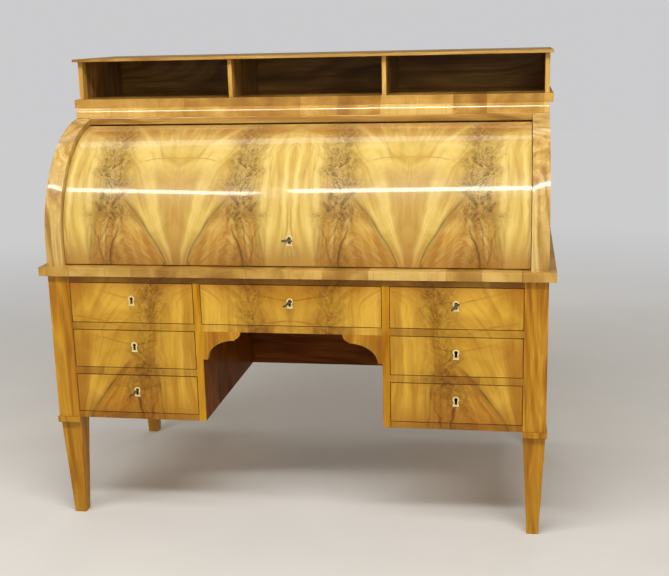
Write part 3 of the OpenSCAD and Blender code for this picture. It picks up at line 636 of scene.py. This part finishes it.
LID = lid_veneer()
RAILS = rail_veneer()
PEDESTAL = front_veneer(
    "pedestal_veneer", OUTER_SEAM, PEDESTAL_PLUME, PEDESTAL_LEAN, PEDESTAL_SEED, PEDESTAL_ROWS)
CENTRE = front_veneer("centre_veneer", 0.0, CENTRE_PLUME, 0.0, CENTRE_SEED, ("centre",))
UPRIGHT = straight_grain("upright_walnut", 2, WALNUT, swirl=1.2)
LEGS = straight_grain("leg_walnut", 2, WALNUT, 11.0)
LENGTHWISE = straight_grain("lengthwise_walnut", 0, HONEYED, 4.0)
BANDED = crossband("crossbanded_walnut", HONEYED)
SLAB = crossband("slab_walnut", SUNLIT)
MOULDED = crossband("moulding_walnut", GOLDEN, roughness=0.16, coat=1.0, specular=0.9)
CHEEK = cheek_walnut()
# The kneehole's sides and back and the shelf bays' insides take the darker tones as painted shade.
LIPPED = lipped("lipped_walnut", (FRONT_LOW, CASE_HIGH), 0.004, WALNUT, SHADE_DARKEST, coat=0.0, specular=0.1)
SHELF_LIPPED = lipped("lipped_shelf_walnut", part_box("shelf_uprights"), 0.030, GOLDEN, SHADE_DEEP, seed=5.0)
SHADED_LENGTHWISE = straight_grain("shaded_walnut_lengthwise", 0, SHADE_DEEP, 2.0, roughness=0.4, coat=0.3)
MODESTY = straight_grain("modesty_walnut", 0, SHADE_DARKEST, 6.0, roughness=0.5, coat=0.0, specular=0.1)
PINE_INWARD = straight_grain("pine_inward", 1, PINE, 1.0, roughness=0.55, coat=0.0)
DRAWER_PINE = drawer_pine(*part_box("box_left_top"))
PINE_LENGTHWISE = straight_grain("pine_lengthwise", 0, PINE, 3.0, roughness=0.55, coat=0.0)
PLATE = (srgb(254, 240, 184), srgb(238, 216, 146), 0.3, 0.2)
BRASS = metal("brass", *PLATE)
DRAWER_LOCK = metal("drawer_lock_brass", *PLATE, case=FRONT_LOW.y + 0.0015)
LID_LOCK = metal("cylinder_lock_brass", *PLATE, case=LID_AXIS_Y - LID_RADIUS + 0.003)
STEEL = metal("steel", srgb(134, 124, 102), srgb(92, 82, 64), 0.42, 0.75)
LEATHER = hide()

FINISH = {
    "legs": LEGS, "leg_collars": LEGS, "corner_posts": UPRIGHT, "partitions": LIPPED,
    "side_panels": UPRIGHT, "front_rails": RAILS, "kneehole_brackets": UPRIGHT,
    "drawer_runners": PINE_INWARD, "pedestal_bottoms": PINE_INWARD, "dust_board": PINE_INWARD,
    "lower_back_panels": PINE_LENGTHWISE, "modesty_panel": MODESTY,
    "fixed_top": BANDED, "cheeks": CHEEK, "upper_back_panel": PINE_LENGTHWISE, "fixed_rail": LENGTHWISE,
    "top_moulding": MOULDED, "cornice_board": BANDED, "shelf_uprights": SHELF_LIPPED,
    "shelf_back": SHADED_LENGTHWISE, "shelf_top": LENGTHWISE, "gradin_case": LENGTHWISE,
    "gradin_drawer_left": LENGTHWISE, "gradin_drawer_centre": LENGTHWISE,
    "gradin_drawer_right": LENGTHWISE,
    "cylinder_panel": LID, "cylinder_ribs": PINE_INWARD, "cylinder_arms": UPRIGHT,
    "cylinder_lock": LID_LOCK,
    "writing_slide": SLAB, "writing_leather": LEATHER,
}
PLACES = ("left_top", "left_middle", "left_bottom", "centre", "right_top", "right_middle", "right_bottom")
for name in PLACES:
    FINISH["front_" + name] = CENTRE if name == "centre" else PEDESTAL
    FINISH["box_" + name] = DRAWER_PINE
    FINISH["lock_" + name] = DRAWER_LOCK
for name in ("cylinder", "centre", "right_top", "left_bottom"):
    FINISH["key_" + name] = STEEL
    FINISH["bolt_" + name] = STEEL


EDGE = 0.0008                           # how wide a bevel eases the woodwork's edges
FINE_EDGE = 0.0004


def soften(node, width):
    """Eases a node's sharp edges."""
    weld = node.modifiers.new("weld", "WELD")
    weld.merge_threshold = 0.00002
    bevel = node.modifiers.new("bevel", "BEVEL")
    bevel.width = width
    bevel.segments = 2
    bevel.limit_method = "ANGLE"
    bevel.angle_limit = math.radians(40)
    bevel.use_clamp_overlap = True


for name, node in NODES.items():
    node.data.materials.clear()
    node.data.materials.append(FINISH[name])
    if name != "cylinder_panel":
        soften(node, FINE_EDGE if name.startswith(("lock", "key", "bolt")) else EDGE)


# ---------------------------------------------------------------- added pieces

SCREW_INSET = 0.007                     # from the end of the lock to the middle of the screw
SLOT_ANGLE = 0.6                        # how far the screws' slots are turned, in radians


def prism(mesh, outline, low, high):
    """Adds a closed prism over an outline of (x, y) points, from low to high in Z."""
    lower = [mesh.verts.new((x, y, low)) for x, y in outline]
    upper = [mesh.verts.new((x, y, high)) for x, y in outline]
    mesh.faces.new(reversed(lower))
    mesh.faces.new(upper)
    for i in range(len(outline)):
        j = (i + 1) % len(outline)
        mesh.faces.new((lower[i], lower[j], upper[j], upper[i]))


def slotted_head(mesh, x, y, z, radius=0.0028, rise=0.0003, slot=0.16):
    """The head of a countersunk screw, looking up: a disc with two half moons on it that leave a slot."""
    steps = 12
    ring = [math.pi * i / steps for i in range(2 * steps)]
    prism(mesh, [(x + radius * math.cos(a), y + radius * math.sin(a)) for a in ring], z - 0.0005, z)
    start = math.asin(slot)
    for turn in (SLOT_ANGLE, SLOT_ANGLE + math.pi):
        arc = [start + (math.pi - 2 * start) * i / steps for i in range(steps + 1)]
        moon = [(x + radius * math.cos(turn + a), y + radius * math.sin(turn + a)) for a in arc]
        prism(mesh, moon, z - 0.0001, z + rise)


def lock_screws(name, body):
    """Two screws through the top edge of a drawer's lock, one each side of the bolt."""
    low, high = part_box(name)
    middle, reach = (low.x + high.x) / 2, (high.x - low.x) / 2 - SCREW_INSET
    mesh = bmesh.new()
    for side in (-1, 1):
        slotted_head(mesh, middle + side * reach, LOCK_CASE_Y, high.z)
    data = bpy.data.meshes.new(body + "_lock_screws")
    mesh.to_mesh(data)
    mesh.free()
    data.materials.append(BRASS)
    screws = bpy.data.objects.new(data.name, data)
    bpy.context.scene.collection.objects.link(screws)
    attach(screws, body)


for place_name in PLACES:
    lock_screws("lock_" + place_name, "drawer_" + place_name)


def floor():
    """Plain and pale near the desk, and as light as the backdrop in the distance."""
    mesh = bpy.data.meshes.new("floor")
    far = 12
    mesh.from_pydata([(-far, -far, 0), (far, -far, 0), (far, far, 0), (-far, far, 0)], [], [(0, 1, 2, 3)])
    ground = bpy.data.objects.new("floor", mesh)
    bpy.context.scene.collection.objects.link(ground)
    made, g, shader, place, at = material("pale_floor", srgb(225, 220, 212))
    speck = g.noise(place, 3, 3)
    pale = g.mix(g.between(speck, 0.3, 0.7), srgb(223, 222, 220), srgb(226, 225, 223))
    away = g.put("ShaderNodeVectorMath", {"operation": "LENGTH"}, Vector=place).outputs["Value"]
    fade = g.between(away, 0.8, 5.0)
    g.join(g.mix(fade, pale, (0, 0, 0, 1)), shader.inputs["Base Color"])
    g.join(g.mix(fade, (0, 0, 0, 1), (*BACKDROP, 1)), shader.inputs["Emission Color"])
    shader.inputs["Emission Strength"].default_value = 1.0
    shader.inputs["Roughness"].default_value = 0.8
    shader.inputs["Specular IOR Level"].default_value = 0.1
    ground.visible_glossy = False
    mesh.materials.append(made)


camera()
world()
lights()
floor()
bpy.context.scene.view_settings.view_transform = "Standard"
